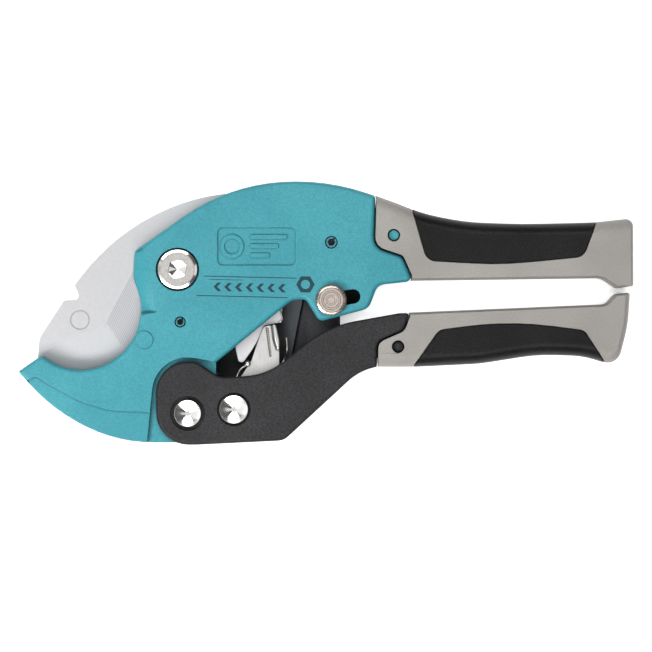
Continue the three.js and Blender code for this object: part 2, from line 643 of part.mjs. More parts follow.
function makeReturnSpring() {
  const [wireRadius, coilRadius, hook, turns] = [0.4, 1.5, 2.7, 10];
  const start = new THREE.Vector3(...SPRING_PIN, RETURN_SPRING_LEVEL);
  const end = new THREE.Vector3(...SPRING_POST, RETURN_SPRING_LEVEL);
  const axis = end.clone().sub(start).normalize();
  const heading = THREE.MathUtils.radToDeg(Math.atan2(axis.y, axis.x));
  const side = new THREE.Vector3(-axis.y, axis.x, 0);
  const postHook = 2.1;
  const coilStart = hook + 1.6;
  const coilLength = start.distanceTo(end) - coilStart - postHook - 1.6;
  const coil = new Coil(start.clone().addScaledVector(axis, coilStart), axis, side, coilRadius,
    coilLength / turns, turns);
  const points = [
    ...loopPoints(SPRING_PIN, hook, RETURN_SPRING_LEVEL, heading - 50, heading - 310, 9),
    ...coil.getPoints(turns * 8),
    ...loopPoints(SPRING_POST, postHook, RETURN_SPRING_LEVEL, heading + 130, heading - 130, 8),
  ];
  return wire(new THREE.CatmullRomCurve3(points), wireRadius, 110, 5);
}

function torsionCoil(centre, radius, low, pitch, turns) {
  return new Coil(new THREE.Vector3(...centre, low), new THREE.Vector3(0, 0, 1), new THREE.Vector3(1, 0, 0),
    radius, pitch, turns);
}

function makeLeverSpring() {
  return wire(torsionCoil(LEVER_PIVOT, 6, -5, 1.4, 2.5), 0.6, 40, 6);
}

// The torsion spring on the pawl pin, with one leg up each side of the pawl.
function makePawlSpring() {
  const level = 4.4;
  const coil = torsionCoil(PAWL_PIVOT, 4.2, level, 1, 1.25).getPoints(16);
  const rightLeg = [[-18, -20.5], [-14.6, -14.6], [-12.9, -12.6], [-12.6, -10.6], [-12.9, -8]];
  const leftLeg = [[-30.8, -24], [-28.4, -19.8], [-26.6, -17.6], [-25.2, -15.4]];
  const points = [
    ...rightLeg.toReversed().map(([x, y]) => new THREE.Vector3(x, y, level)),
    ...coil,
    ...leftLeg.map(([x, y]) => new THREE.Vector3(x, y, level + 1.25)),
  ];
  return wire(new THREE.CatmullRomCurve3(points), 0.4, 44, 6);
}

function makeSpringPost() {
  return turned(SPRING_POST, [
    [0, -2.5], [2.2, -2.5], [2.2, -1.6], [1.3, -1.6], [1.3, 1.6], [2.2, 1.6], [2.2, 2.6], [1.4, 2.6],
    [1.4, 4.6], [2, 4.8], [2, 5.3], [0, 5.3],
  ]);
}

// ---- latch ----------------------------------------------------------------------------------------
function makeLatchPin() {
  return turned(LATCH_AT, [
    [0, -9.7], [1.6, -9.7], [1.6, -8.9], [2, -8.9], [2, -5.4], [1.5, -5.4], [1.5, 5.4], [2, 5.4], [2, 10.2],
    [0, 10.2],
  ]);
}

function makeLatchButton() {
  return turned(LATCH_AT, [
    [2.3, 9], [4.8, 9], [5, 9.3], [5, 10.9], [4.6, 11.3], [4, 11.3], [3.7, 11], [3.3, 11], [3, 11.3],
    [2.4, 11.3], [2.1, 11], [0, 11], [0, 10.5], [2.3, 10.5], [2.3, 9],
  ]);
}

function makeLatchWasher() {
  return ring(LATCH_AT, 1.9, 4.6, -9.8, -9);
}

// ---- handles --------------------------------------------------------------------------------------
const SLEEVE_PROFILE = edgeProfile(SLEEVE_HALF, ...PALM_ROUND, 6);

function rubberZone(sleeve, insert, gap) {
  const zone = prism(insert, -20, 20, -gap);
  const depth = SLEEVE_HALF - RUBBER - gap;
  const core = prism(sleeve, -depth, depth, RUBBER + gap);
  return zone.subtract(core);
}

function makeInsert(sleeve, insert) {
  return slab(sleeve, SLEEVE_PROFILE).intersect(rubberZone(sleeve, insert, 0));
}

function makeSleeve(sleeve, insert, partner, tang, peg) {
  const cuts = union(
    rubberZone(sleeve, insert, GAP),
    prism(partner, -20, 20, -SEAM),
    prism(tang, -TANG_HALF - GAP, TANG_HALF + GAP, -GAP),
    disc(peg, PEG_RADIUS + 0.35, 0, 20),
  );
  return slab(sleeve, SLEEVE_PROFILE).subtract(cuts);
}

// ---- assembly -------------------------------------------------------------------------------------
const tool = new THREE.Group();
tool.position.z = MID_HEIGHT;

function addPiece(name, body, material) {
  const { vertProperties, triVerts } = body.getMesh();
  const geometry = new THREE.BufferGeometry();
  geometry.setAttribute('position', new THREE.BufferAttribute(vertProperties, 3));
  geometry.setIndex(new THREE.BufferAttribute(triVerts, 1));
  geometry.computeVertexNormals();
  const mesh = new THREE.Mesh(geometry, material);
  mesh.name = name;
  tool.add(mesh);
}

function leftOf(body, limit) {
  return body.subtract(box([-200, -100, -50], [limit, 100, 50]));
}

addPiece('housing', makeHousing(), TEAL_PAINT);
addPiece('blade', makeBlade(), BLADE_STEEL);
addPiece('pivot_bush', makePivotBush(), BRONZE);
addPiece('pivot_bolt', makePivotBolt(), BRIGHT_STEEL);
addPiece('pivot_nut', makePivotNut(), BLACK_STEEL);
addPiece('thrust_washer_front', makeThrustWasher(1), BRONZE);
addPiece('thrust_washer_rear', makeThrustWasher(-1), BRONZE);
addPiece('blade_stop_pin', rollPin(STOP_PIN, 1.5, 0.95, 8.4), SPRING_STEEL);
addPiece('spring_anchor_pin', rollPin(SPRING_PIN, 1.75, 1.1, 8.4), SPRING_STEEL);
addPiece('spring_post', makeSpringPost(), PRESSED_STEEL);
addPiece('blade_return_spring', makeReturnSpring(), SPRING_STEEL);
addPiece('lever', makeLever(), DARK_PAINT);
addPiece('lever_pin', headedPin(LEVER_PIVOT, 3.5, 4.5), BRIGHT_STEEL);
addPiece('lever_pin_clip', makeClip(LEVER_PIVOT, 3.5, 5.2), BLACK_STEEL);
addPiece('lever_spring', makeLeverSpring(), SPRING_STEEL);
addPiece('pawl_pin', headedPin(PAWL_PIVOT, 3, 4.75), BRIGHT_STEEL);
addPiece('pawl_pin_clip', makeClip(PAWL_PIVOT, 3, 5.2), BLACK_STEEL);
addPiece('pawl', makePawl(), PRESSED_STEEL);
addPiece('pawl_spring', makePawlSpring(), SPRING_STEEL);
addPiece('latch_button', makeLatchButton(), WARM_NICKEL);
addPiece('latch_pin', makeLatchPin(), BRIGHT_STEEL);
addPiece('latch_washer', makeLatchWasher(), BLACK_STEEL);
addPiece('upper_grip_sleeve',
  leftOf(makeSleeve(UPPER_SLEEVE, UPPER_INSERT, BODY, UPPER_TANG, UPPER_PEG), 15.9), GREY_GRIP);
addPiece('upper_grip_insert', makeInsert(UPPER_SLEEVE, UPPER_INSERT), BLACK_RUBBER);
addPiece('lower_grip_sleeve',
  leftOf(makeSleeve(LOWER_SLEEVE, LOWER_INSERT, LEVER, LOWER_TANG, LOWER_PEG), 16.9), GREY_GRIP);
addPiece('lower_grip_insert', makeInsert(LOWER_SLEEVE, LOWER_INSERT), BLACK_RUBBER);

export default tool;
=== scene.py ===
import json
import math

import bmesh
import bpy
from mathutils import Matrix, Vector


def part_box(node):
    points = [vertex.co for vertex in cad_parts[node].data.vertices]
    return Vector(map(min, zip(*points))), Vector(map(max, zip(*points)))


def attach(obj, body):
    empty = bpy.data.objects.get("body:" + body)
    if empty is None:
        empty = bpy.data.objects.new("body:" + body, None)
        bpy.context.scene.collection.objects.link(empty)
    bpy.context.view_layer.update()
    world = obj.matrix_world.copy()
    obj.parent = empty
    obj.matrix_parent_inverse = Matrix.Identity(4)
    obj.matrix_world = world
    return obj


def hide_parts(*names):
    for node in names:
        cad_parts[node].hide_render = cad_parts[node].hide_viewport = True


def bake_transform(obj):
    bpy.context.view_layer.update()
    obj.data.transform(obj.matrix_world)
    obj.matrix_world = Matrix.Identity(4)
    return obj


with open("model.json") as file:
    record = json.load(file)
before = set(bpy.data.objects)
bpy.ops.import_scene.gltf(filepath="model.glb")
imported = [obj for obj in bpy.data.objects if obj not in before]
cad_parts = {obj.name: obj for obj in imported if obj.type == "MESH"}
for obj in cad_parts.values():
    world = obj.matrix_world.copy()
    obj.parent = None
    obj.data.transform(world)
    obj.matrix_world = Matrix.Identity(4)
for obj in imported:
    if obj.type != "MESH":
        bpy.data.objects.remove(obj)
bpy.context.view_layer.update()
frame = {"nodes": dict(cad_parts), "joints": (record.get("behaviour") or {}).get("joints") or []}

MM = 0.001
NODES = frame["nodes"]
JOINTS = {joint["name"]: joint for joint in frame["joints"]}
BLADE_PIVOT, LEVER_PIVOT, PAWL_PIVOT = (
    Vector(JOINTS[name]["pos_m"]) for name in ("blade_pivot", "lever_hinge", "pawl_pivot")
)
MID_HEIGHT = BLADE_PIVOT.z  # the tool's mid-plane; heights in millimetres are measured from it
FACE_HEIGHT = 8.7  # the housing's front face above the mid-plane, in millimetres


def middle(node):
    """The centre of a CAD node in plan, at the height of the tool's mid-plane."""
    low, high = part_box(node)
    return Vector(((low.x + high.x) / 2, (low.y + high.y) / 2, MID_HEIGHT))


def at(x, y, z=0.0):
    """A point given in millimetres, with its height measured from the mid-plane."""
    return Vector((x, y, z)) * MM + Vector((0, 0, MID_HEIGHT))


# ---- camera, floor and light ---------------------------------------------------------------------
FRAME_WIDTH = 0.2119  # metres that the picture's width covers at the tool's front face
VIEW_CENTRE = Vector((0.00007, -0.0042, 0.018))
CAMERA_HEIGHT = 1.6  # metres above the tool's front face


def make_camera():
    data = bpy.data.cameras.new("camera")
    data.sensor_width = 36
    data.lens = data.sensor_width * CAMERA_HEIGHT / FRAME_WIDTH
    data.clip_end = 20
    camera = bpy.data.objects.new("camera", data)
    camera.location = VIEW_CENTRE + Vector((0, 0, CAMERA_HEIGHT))
    bpy.context.scene.collection.objects.link(camera)
    bpy.context.scene.camera = camera


def softbox(name, place, width, height, power, shape="RECTANGLE"):
    """A light panel that faces straight down."""
    data = bpy.data.lights.new(name, "AREA")
    data.shape = shape
    data.size = width
    if shape == "RECTANGLE":
        data.size_y = height
    data.energy = power
    light = bpy.data.objects.new(name, data)
    light.location = place
    bpy.context.scene.collection.objects.link(light)


def make_lights():
    """Four panels round the view, whose gaps show in polished cones, one overhead and one near."""
    softbox("upper_softbox", (-0.2, 0.66, 1.0), 1.0, 0.5, 6.6)
    softbox("lower_softbox", (-0.14, -0.64, 1.0), 0.95, 0.45, 6.4)
    softbox("left_softbox", (-0.66, 0.0, 1.0), 0.3, 0.7, 0.66)
    softbox("right_softbox", (0.68, 0.0, 1.0), 0.34, 0.4, 0.36)
    softbox("overhead_softbox", (-0.25, 0, 2.4), 2.2, 2.2, 9.3, "DISK")
    softbox("key_softbox", (-0.45, -0.35, 0.55), 0.3, 0.3, 4.6)


def make_world():
    world = bpy.data.worlds.new("studio")
    bpy.context.scene.world = world
    bpy.context.scene.view_settings.view_transform = "Standard"
    world.use_nodes = True
    background = world.node_tree.nodes["Background"]
    background.inputs["Color"].default_value = (1, 1, 1, 1)
    background.inputs["Strength"].default_value = 0.12


SLOT_REACH = 4.4 * MM  # round the latch's slot the paper is painted dark, as painted shade
WINDOW_REACH = 16 * MM  # round the window the paper glows only where it is open far above, elsewhere painted shade
GAP_REACH = 9 * MM  # round the gap under the latch the paper glows in spite of its near walls
PAPER, SHADE = (0.5, 0.5, 0.5, 1), (0.03, 0.03, 0.03, 1)


def make_floor():
    """White paper that glows faintly, with painted shade where something stands right over it.

    The photograph's paper is pure white, while the slot and the window look dark.
    """
    bm = bmesh.new()
    bmesh.ops.create_grid(bm, x_segments=2, y_segments=2, size=3)
    floor = object_from(bm, "floor")
    paper = Paint("floor_paper")
    paper.set(Roughness=0.9, Emission_Strength=0.92)
    slot = middle("latch_button") + Vector((5.4, 0.3, 0)) * MM
    gap = middle("latch_button") + Vector((11.5, -10.5, 0)) * MM
    window = middle("pawl") + Vector((-1.5, 7, 0)) * MM
    off_slot = paper.math("GREATER_THAN", paper.radius(slot), SLOT_REACH)
    off_window = paper.ramp(paper.math("MULTIPLY", paper.radius(window), 1 / WINDOW_REACH),
                            0.72, 1.0)
    clear = paper.math("MAXIMUM", off_window, paper.ramp(paper.openness(0.03), 0.45, 0.75))
    near_gap = paper.ramp(paper.math("MULTIPLY", paper.radius(gap), 1 / GAP_REACH), 0.5, 1.0,
                          (1, 1, 1, 1), (0, 0, 0, 1))
    close = paper.math("MAXIMUM", paper.ramp(paper.openness(0.005), 0.3, 0.42), near_gap)
    # painted shade: the glow fades under and beside the tool and stops at the slot
    lit = paper.math("MULTIPLY", paper.math("MULTIPLY", close, clear), off_slot)
    paper.link(lit, paper.shader.inputs["Emission Color"])
    paper.color(paper.mix(off_slot, SHADE, PAPER))
    floor.data.materials.append(paper.material)


# ---- mesh helpers --------------------------------------------------------------------------------
def object_from(bm, name):
    mesh = bpy.data.meshes.new(name)
    bm.to_mesh(mesh)
    bm.free()
    made = bpy.data.objects.new(name, mesh)
    bpy.context.scene.collection.objects.link(made)
    return made


def shade_smooth(obj):
    for face in obj.data.polygons:
        face.use_smooth = True


def add_modifier(obj, name, kind, **settings):
    modifier = obj.modifiers.new(name, kind)
    for key, value in settings.items():
        setattr(modifier, key, value)
    return modifier


WELD_DISTANCE = 2e-6  # metres within which a CAD node's vertices are joined
FLAT_ANGLE = math.radians(0.6)  # neighbours that differ by less are one flat face
CORNER_ANGLE = math.radians(50)  # edges that turn by more are rounded


def soften_edges(obj, width):
    """Merges coplanar triangles, rounds the true corners and evens the shading of a CAD node."""
    add_modifier(obj, "weld", "WELD", merge_threshold=WELD_DISTANCE)
    add_modifier(obj, "merge_flats", "DECIMATE", decimate_type="DISSOLVE", angle_limit=FLAT_ANGLE)
    if width:
        add_modifier(obj, "round", "BEVEL", width=width, segments=2, limit_method="ANGLE",
                     angle_limit=CORNER_ANGLE, use_clamp_overlap=False)
    add_modifier(obj, "even_shading", "WEIGHTED_NORMAL", weight=90)


def crisp(obj, degrees):
    add_modifier(obj, "crisp", "EDGE_SPLIT", split_angle=math.radians(degrees))


def loft(name, rings, centre, closed=False):
    """A mesh from rings of equally many points about a centre: capped, or joined end to end."""
    bm = bmesh.new()
    rows = [[bm.verts.new(centre + Vector(p)) for p in ring] for ring in rings]
    pairs = list(zip(rows, rows[1:])) + ([(rows[-1], rows[0])] if closed else [])
    for lower, upper in pairs:
        count = len(lower)
        for i in range(count):
            j = (i + 1) % count
            bm.faces.new((lower[i], lower[j], upper[j], upper[i]))
    if not closed:
        bm.faces.new(list(reversed(rows[0])))
        bm.faces.new(rows[-1])
    bmesh.ops.recalc_face_normals(bm, faces=bm.faces)
    made = object_from(bm, name)
    shade_smooth(made)
    return made


ROUND = 96  # facets round a turned piece


def circle_ring(radius, height):
    turn = [2 * math.pi * i / ROUND for i in range(ROUND)]
    return [(radius * MM * math.cos(a), radius * MM * math.sin(a), height * MM) for a in turn]


def hex_ring(across_flats, height, heading=0.0, most=1e3):
    """A hexagon sampled at even angles to bridge to a circle; `heading` is where one flat faces."""
    points = []
    for i in range(ROUND):
        angle = 2 * math.pi * i / ROUND
        local = (angle - heading + math.pi / 6) % (math.pi / 3) - math.pi / 6
        radius = min(across_flats / 2 / math.cos(local), most) * MM
        points.append((radius * math.cos(angle), radius * math.sin(angle), height * MM))
    return points


def turned(name, centre, profile):
    """A turned piece from (radius, height) pairs in millimetres."""
    rings = [circle_ring(max(radius, 0.01), height) for radius, height in profile]
    return loft(name, rings, centre)


def fillet(corners, steps=6):
    """The points of a polygon in millimetres whose (x, y, radius) corners are rounded."""
    points = []
    for i, (x, y, radius) in enumerate(corners):
        here = Vector((x, y))
        back = (Vector(corners[i - 1][:2]) - here).normalized()
        ahead = (Vector(corners[(i + 1) % len(corners)][:2]) - here).normalized()
        if radius == 0:
            points.append(here)
            continue
        half = back.angle(ahead) / 2
        start = here + back * radius / math.tan(half)
        centre = here + (back + ahead).normalized() * radius / math.sin(half)
        turn = math.pi - 2 * half
        if back.x * ahead.y - back.y * ahead.x > 0:
            turn = -turn
        spoke = start - centre
        for k in range(steps + 1):
            angle = turn * k / steps
            points.append(centre + Vector((
                spoke.x * math.cos(angle) - spoke.y * math.sin(angle),
                spoke.x * math.sin(angle) + spoke.y * math.cos(angle))))
    return points


def polygon(centre, radius, sides):
    """The corners of a regular polygon in plan."""
    turn = [2 * math.pi * k / sides for k in range(sides)]
    return [(centre[0] + radius * math.cos(a), centre[1] + radius * math.sin(a)) for a in turn]


def plate(name, outlines, low, high, edge):
    """A flat plate between two heights, with rounded edges; outlines after the first are holes."""
    data = bpy.data.curves.new(name, "CURVE")
    data.dimensions = "2D"
    data.fill_mode = "BOTH"
    data.extrude = ((high - low) / 2 - edge) * MM
    data.bevel_depth = edge * MM
    data.bevel_resolution = 2
    data.offset = -edge * MM
    for outline in outlines:
        spline = data.splines.new("POLY")
        spline.points.add(len(outline) - 1)
        spline.use_cyclic_u = True
        for point, (x, y) in zip(spline.points, outline):
            point.co = (x * MM, y * MM, 0, 1)
    made = bpy.data.objects.new(name, data)
    made.location = (0, 0, MID_HEIGHT + (low + high) / 2 * MM)
    bpy.context.scene.collection.objects.link(made)
    return made


def tube(name, points, radius, sides=10):
    """A round wire with domed ends along a list of points in metres."""
    bm = bmesh.new()
    rows = []
    side = Vector((0, 0, 1))
    for i, point in enumerate(points):
        along = (points[min(i + 1, len(points) - 1)] - points[max(i - 1, 0)]).normalized()
        side = (side - along * side.dot(along)).normalized()
        across = along.cross(side)
        rows.append([bm.verts.new(point + (side * math.cos(a) + across * math.sin(a)) * radius)
                     for a in (2 * math.pi * k / sides for k in range(sides))])
    for lower, upper in zip(rows, rows[1:]):
        for i in range(sides):
            j = (i + 1) % sides
            bm.faces.new((lower[i], lower[j], upper[j], upper[i]))
    for row, tip in ((rows[0], points[0] - points[1]), (rows[-1], points[-1] - points[-2])):
        end = sum((v.co for v in row), Vector()) / sides
        top = bm.verts.new(end + tip.normalized() * radius * 0.6)
        for i in range(sides):
            bm.faces.new((row[i], row[(i + 1) % sides], top))
    bmesh.ops.recalc_face_normals(bm, faces=bm.faces)
    made = object_from(bm, name)
    shade_smooth(made)
    return made


def smooth_path(points, per_leg=8):
    """A Catmull-Rom curve through a list of points."""
    ends = [points[0] * 2 - points[1]] + list(points) + [points[-1] * 2 - points[-2]]
    path = []
    for a, b, c, d in zip(ends, ends[1:], ends[2:], ends[3:]):
        for k in range(per_leg):
            t = k / per_leg
            path.append((b * 2 + (c - a) * t + (a * 2 - b * 5 + c * 4 - d) * t * t
                         + (b * 3 - a - c * 3 + d) * t ** 3) / 2)
    return path + [points[-1]]


# ---- materials -----------------------------------------------------------------------------------
class Paint:
    """A node material under construction, with short ways to add noise, colour and bump."""

    def __init__(self, name):
        self.material = bpy.data.materials.new(name)
        self.material.use_nodes = True
        self.tree = self.material.node_tree
        self.shader = self.tree.nodes["Principled BSDF"]
        coords = self.tree.nodes.new("ShaderNodeTexCoord")
        self.coords = coords.outputs["Object"]
        self.facing = coords.outputs["Normal"]

    def set(self, **values):
        for key, value in values.items():
            self.shader.inputs[key.replace("_", " ")].default_value = value

    def node(self, kind, **settings):
        made = self.tree.nodes.new(kind)
        for key, value in settings.items():
            setattr(made, key, value)
        return made

    def link(self, source, target):
        self.tree.links.new(source, target)

    def feed(self, sockets, values):
        for socket, value in zip(sockets, values):
            if isinstance(value, (int, float, tuple)):
                socket.default_value = value
            else:
                self.link(value, socket)

    def mapped(self, scale=(1, 1, 1), rotation=(0, 0, 0)):
        mapping = self.node("ShaderNodeMapping")
        mapping.inputs["Scale"].default_value = scale
        mapping.inputs["Rotation"].default_value = rotation
        self.link(self.coords, mapping.inputs["Vector"])
        return mapping.outputs["Vector"]

    def parts(self, vector):
        made = self.node("ShaderNodeSeparateXYZ")
        self.link(vector, made.inputs[0])
        return made.outputs

    def noise(self, scale, detail=3.0, roughness=0.55, vector=None):
        made = self.node("ShaderNodeTexNoise")
        made.inputs["Scale"].default_value = scale
        made.inputs["Detail"].default_value = detail
        made.inputs["Roughness"].default_value = roughness
        self.link(vector or self.coords, made.inputs["Vector"])
        return made.outputs["Fac"]

    def wave(self, scale, heading, distortion=1.0):
        """Parallel lines in plan, along a heading in degrees."""
        made = self.node("ShaderNodeTexWave", bands_direction="X")
        made.inputs["Scale"].default_value = scale
        made.inputs["Distortion"].default_value = distortion
        made.inputs["Detail"].default_value = 2
        made.inputs["Detail Scale"].default_value = 3
        self.link(self.mapped(rotation=(0, 0, math.radians(-90 - heading))), made.inputs["Vector"])
        return made.outputs["Fac"]

    def ramp(self, source, low, high, first=(0, 0, 0, 1), last=(1, 1, 1, 1)):
        made = self.node("ShaderNodeValToRGB")
        made.color_ramp.elements[0].position = low
        made.color_ramp.elements[0].color = first
        made.color_ramp.elements[1].position = high
        made.color_ramp.elements[1].color = last
        self.link(source, made.inputs["Fac"])
        return made.outputs["Color"]

    def math(self, operation, first, second=0.0):
        made = self.node("ShaderNodeMath", operation=operation)
        self.feed(made.inputs, (first, second))
        return made.outputs[0]

    def mix(self, factor, first, second, blend="MIX"):
        made = self.node("ShaderNodeMix", data_type="RGBA", blend_type=blend)
        self.feed((made.inputs[0], made.inputs[6], made.inputs[7]), (factor, first, second))
        return made.outputs[2]

    def radius(self, centre):
        """The distance in plan from a centre."""
        place = self.parts(self.coords)
        across = self.math("POWER", self.math("SUBTRACT", place["X"], centre.x), 2)
        along = self.math("POWER", self.math("SUBTRACT", place["Y"], centre.y), 2)
        return self.math("SQRT", self.math("ADD", across, along))

    def between(self, value, low, high):
        """1 where the value lies between two limits, else 0."""
        above = self.math("GREATER_THAN", value, low)
        return self.math("MULTIPLY", above, self.math("LESS_THAN", value, high))

    def openness(self, distance):
        """1 where nothing stands within a distance of the surface, towards 0 in tight corners."""
        made = self.node("ShaderNodeAmbientOcclusion", samples=8)
        made.inputs["Distance"].default_value = distance
        return made.outputs["AO"]

    def edge_wear_and_highlight(self, radius, strength):
        """How strongly an edge is rubbed and lightened by a painted highlight: corners within the
        radius, broken up by noise.
        """
        rounded = self.node("ShaderNodeBevel", samples=4)
        rounded.inputs["Radius"].default_value = radius
        plain = self.node("ShaderNodeNewGeometry")
        alike = self.node("ShaderNodeVectorMath", operation="DOT_PRODUCT")
        self.link(rounded.outputs["Normal"], alike.inputs[0])
        self.link(plain.outputs["Normal"], alike.inputs[1])
        bent = self.math("SUBTRACT", 1.0, alike.outputs["Value"])
        patchy = self.ramp(self.noise(260, 4, 0.7), 0.42, 0.62)
        worn_and_highlit = self.math("MULTIPLY", self.ramp(bent, 0.02, 0.3), patchy)
        return self.math("MULTIPLY", worn_and_highlit, strength)

    def color(self, source, crease_shade=0.0):
        """The base colour, with painted shade that darkens it by a share in creases and corners."""
        if crease_shade:
            # painted shade: darker where ambient occlusion finds surfaces close by
            shade = self.ramp(self.openness(0.0009), 0.35, 0.95, (1 - crease_shade,) * 3 + (1,))
            source = self.mix(1.0, source, shade, "MULTIPLY")
        self.link(source, self.shader.inputs["Base Color"])

    def roughness(self, source, low, high):
        made = self.node("ShaderNodeMapRange")
        made.inputs["To Min"].default_value = low
        made.inputs["To Max"].default_value = high
        self.link(source, made.inputs["Value"])
        self.link(made.outputs["Result"], self.shader.inputs["Roughness"])

    def bump(self, height, strength, distance):
        made = self.node("ShaderNodeBump")
        made.inputs["Strength"].default_value = strength
        made.inputs["Distance"].default_value = distance
        self.link(height, made.inputs["Height"])
        previous = self.shader.inputs["Normal"]
        if previous.is_linked:
            self.link(previous.links[0].from_socket, made.inputs["Normal"])
        self.link(made.outputs["Normal"], previous)


def rgb(red, green, blue):
    """An sRGB colour of 0 to 255 as linear red, green, blue and alpha."""
    def linear(value):
        share = value / 255
        return share / 12.92 if share <= 0.04045 else ((share + 0.055) / 1.055) ** 2.4
    return (linear(red), linear(green), linear(blue), 1)


def grainy(paint, dark, light, grain, contrast):
    """A cloudy base colour with a fine grain over it, and the grain itself for bump."""
    cloud = paint.ramp(paint.noise(45, 4), 0.35, 0.65, dark, light)
    fine = paint.noise(grain, 2, 0.6)
    shade = paint.ramp(fine, 0.3, 0.7, (1 - contrast,) * 3 + (1,), (1 + contrast,) * 3 + (1,))
    return paint.mix(1.0, cloud, shade, "MULTIPLY"), fine


def teal_paint():
    paint = Paint("teal_powder_coat")
    tone, fine = grainy(paint, rgb(49, 141, 154), rgb(58, 150, 162), 2000, 0.16)
    # lighter edges: partly rubbed paint, partly a painted highlight on the rounded edges; the last
    # share is painted shade in creases
    paint.color(paint.mix(paint.edge_wear_and_highlight(0.0004, 0.4), tone, rgb(126, 190, 200)), crease_shade=0.62)
    paint.set(Specular_IOR_Level=0.45)
    paint.roughness(fine, 0.4, 0.56)
    paint.bump(fine, 0.4, 0.00006)
    return paint.material


WEB_LEVEL = (-4.6 * MM, -4.0 * MM)  # the heights between which the face of the lever's web lies
SHEEN_LEFT, SHEEN_WIDTH = -15.3, 4  # the painted sheen brightens the web over this width, in millimetres
SHEEN_LEAN = 0.12  # how far the sheen leans to the left, per millimetre up


def dark_paint():
    """Charcoal powder coat; the web inside the fork gets painted shade towards its left and a
    painted sheen towards its right.
    """
    paint = Paint("charcoal_powder_coat")
    tone, fine = grainy(paint, rgb(34, 34, 36), rgb(43, 43, 45), 1900, 0.6)
    # lighter edges: partly rubbed paint, partly a painted highlight on the rounded edges
    worn_and_highlit = paint.mix(paint.edge_wear_and_highlight(0.0005, 0.5), tone, rgb(104, 104, 106))
    place = paint.parts(paint.coords)
    on_web = paint.between(place["Z"], MID_HEIGHT + WEB_LEVEL[0], MID_HEIGHT + WEB_LEVEL[1])
    across = paint.math("ADD", paint.math("MULTIPLY", place["Y"], SHEEN_LEAN / MM),
                        paint.math("MULTIPLY", place["X"], 1 / MM))
    share = paint.math("MULTIPLY", paint.math("ADD", across, -SHEEN_LEFT), 1 / SHEEN_WIDTH)
    # painted shade to the left, where the blade's tail and the pawl shade the web, painted sheen to
    # the right
    painted_web_sheen = paint.ramp(share, 0.1, 0.83, rgb(34, 35, 38), rgb(88, 92, 96))
    # the last share is painted shade in creases
    paint.color(paint.mix(on_web, worn_and_highlit, painted_web_sheen), crease_shade=0.5)
    paint.set(Specular_IOR_Level=0.3)
    paint.roughness(fine, 0.5, 0.68)
    paint.bump(fine, 0.55, 0.00008)
    return paint.material


def grip_plastic():
    paint = Paint("grey_grip_plastic")
    tone, fine = grainy(paint, rgb(148, 145, 140), rgb(158, 155, 150), 2100, 0.09)
    smudge = paint.ramp(paint.noise(18, 5, 0.65), 0.52, 0.72)
    soiled = paint.mix(paint.math("MULTIPLY", smudge, 0.16), tone, rgb(126, 120, 113))
    # the last share is painted shade in creases
    paint.color(soiled, crease_shade=0.45)
    paint.set(Specular_IOR_Level=0.4)
    paint.roughness(fine, 0.44, 0.6)
    paint.bump(fine, 0.3, 0.00005)
    return paint.material


def grip_rubber():
    paint = Paint("black_grip_rubber")
    tone, fine = grainy(paint, rgb(12, 12, 13), rgb(23, 23, 24), 2000, 0.9)
    # the last share is painted shade in creases
    paint.color(tone, crease_shade=0.5)
    paint.set(Specular_IOR_Level=0.2)
    paint.roughness(fine, 0.36, 0.5)
    paint.bump(fine, 0.6, 0.00008)
    return paint.material


def polished_steel():
    paint = Paint("polished_steel")
    marks = paint.noise(900, 4, 0.7)
    paint.color(paint.ramp(marks, 0.3, 0.8, rgb(220, 218, 215), rgb(234, 233, 231)))
    paint.set(Metallic=1.0)
    paint.roughness(marks, 0.1, 0.13)
    paint.bump(marks, 0.03, 0.00001)
    return paint.material


def satin_nickel():
    """The bolt: its turned face is satin and speckled, its rim and socket are bright."""
    paint = Paint("satin_nickel")
    marks = paint.noise(1300, 5, 0.75)
    on_face = paint.between(paint.radius(BLADE_PIVOT), 3.2 * MM, 5.4 * MM)
    speckled = paint.ramp(marks, 0.3, 0.75, rgb(164, 161, 157), rgb(200, 197, 193))
    paint.color(paint.mix(on_face, rgb(226, 225, 223), speckled))
    paint.set(Metallic=1.0)
    paint.roughness(on_face, 0.12, 0.42)
    paint.bump(paint.math("MULTIPLY", marks, on_face), 0.3, 0.00004)
    return paint.material


def warm_nickel():
    paint = Paint("warm_nickel")
    marks = paint.noise(1500, 5, 0.75)
    # the last share is painted shade in creases
    paint.color(paint.ramp(marks, 0.3, 0.75, rgb(192, 178, 168), rgb(220, 208, 199)), crease_shade=0.65)
    paint.set(Metallic=1.0)
    paint.roughness(marks, 0.22, 0.32)
    paint.bump(marks, 0.08, 0.00003)
    return paint.material


def pressed_steel():
    paint = Paint("pressed_steel")
    streaks = paint.noise(520, 4, 0.7, paint.mapped((6, 0.6, 1)))
    paint.color(paint.ramp(streaks, 0.3, 0.75, rgb(190, 189, 187), rgb(216, 215, 213)))
    paint.set(Metallic=1.0)
    paint.roughness(streaks, 0.28, 0.44)
    paint.bump(streaks, 0.1, 0.00004)
    return paint.material


def spring_wire():
    paint = Paint("spring_wire")
    marks = paint.noise(1500, 3)
    paint.color(paint.ramp(marks, 0.3, 0.7, rgb(150, 146, 140), rgb(204, 200, 194)))
    paint.set(Metallic=1.0)
    paint.roughness(marks, 0.26, 0.4)
    paint.bump(marks, 0.1, 0.00003)
    return paint.material


def pin_steel():
    paint = Paint("painted_pin_steel")
    marks = paint.noise(1400, 3)
    paint.color(paint.ramp(marks, 0.3, 0.7, rgb(52, 104, 114), rgb(84, 142, 152)))
    paint.set(Metallic=0.5)
    paint.roughness(marks, 0.3, 0.46)
    paint.bump(marks, 0.15, 0.00003)
    return paint.material


